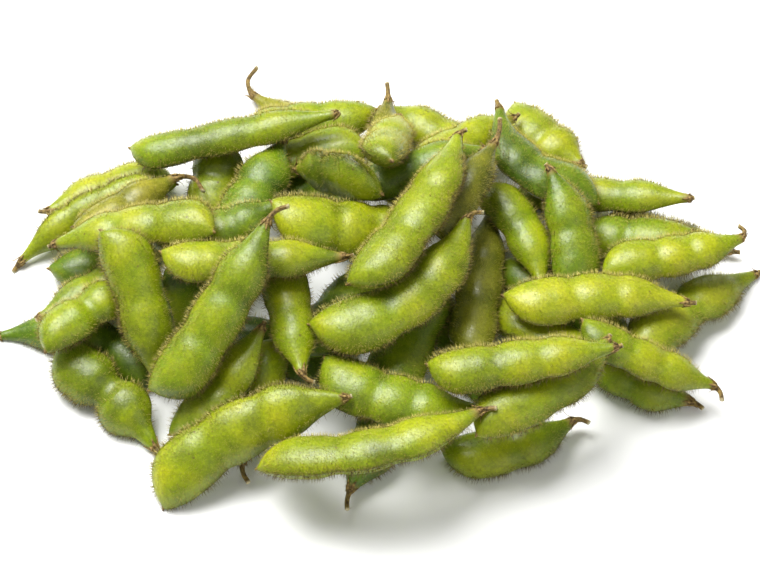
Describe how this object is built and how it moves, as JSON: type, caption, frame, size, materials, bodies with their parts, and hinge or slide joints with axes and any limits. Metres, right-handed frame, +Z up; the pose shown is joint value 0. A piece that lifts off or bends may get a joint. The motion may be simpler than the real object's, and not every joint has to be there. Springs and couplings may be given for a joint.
{
  "type": "edamame pod bundle",
  "caption": "Loose heap of fresh green soybean pods lying on each other, each with bean bulges, a pointed tip, suture edges and a dry stub of stalk.",
  "frame": {"origin": "centre of the heap's footprint box, on the surface it lies on", "axes": "+Z up from the surface, +X along the heap's longest side, +Y away from the side it is looked at from"},
  "size_m": [0.2456, 0.176, 0.0556],
  "materials": {
    "fresh_green_skin": "satin, finely hairy pod skin, bright yellow-green",
    "pale_green_skin": "satin, finely hairy pod skin, pale yellow-green",
    "deep_green_skin": "satin, finely hairy pod skin, deep green",
    "olive_green_skin": "dull, hairy pod skin, olive green"
  },
  "bodies": {
    "root": {"pod_01": "deep_green_skin", "pod_02": "deep_green_skin", "pod_03": "fresh_green_skin", "pod_04": "pale_green_skin", "pod_05": "deep_green_skin", "pod_06": "deep_green_skin", "pod_07": "fresh_green_skin", "pod_08": "fresh_green_skin", "pod_09": "deep_green_skin", "pod_10": "deep_green_skin", "pod_11": "deep_green_skin", "pod_12": "deep_green_skin", "pod_13": "fresh_green_skin", "pod_14": "fresh_green_skin", "pod_15": "deep_green_skin", "pod_16": "deep_green_skin", "pod_17": "fresh_green_skin", "pod_18": "pale_green_skin", "pod_19": "olive_green_skin", "pod_20": "fresh_green_skin", "pod_21": "pale_green_skin", "pod_22": "olive_green_skin", "pod_23": "fresh_green_skin", "pod_24": "pale_green_skin", "pod_25": "fresh_green_skin", "pod_26": "olive_green_skin", "pod_27": "fresh_green_skin", "pod_28": "fresh_green_skin", "pod_29": "deep_green_skin", "pod_30": "fresh_green_skin", "pod_31": "fresh_green_skin", "pod_32": "pale_green_skin", "pod_33": "olive_green_skin", "pod_34": "deep_green_skin", "pod_35": "pale_green_skin", "pod_36": "fresh_green_skin", "pod_37": "deep_green_skin", "pod_38": "fresh_green_skin", "pod_39": "fresh_green_skin", "pod_40": "fresh_green_skin", "pod_41": "fresh_green_skin", "pod_42": "olive_green_skin", "pod_43": "fresh_green_skin", "pod_44": "pale_green_skin", "pod_45": "deep_green_skin", "pod_46": "olive_green_skin", "pod_47": "fresh_green_skin", "pod_48": "fresh_green_skin", "pod_49": "deep_green_skin", "pod_50": "fresh_green_skin", "pod_51": "fresh_green_skin", "pod_52": "fresh_green_skin", "pod_53": "fresh_green_skin", "pod_54": "fresh_green_skin", "pod_55": "fresh_green_skin", "pod_56": "pale_green_skin", "pod_57": "fresh_green_skin", "pod_58": "fresh_green_skin", "pod_59": "fresh_green_skin", "pod_60": "pale_green_skin"}
  },
  "joints": []
}
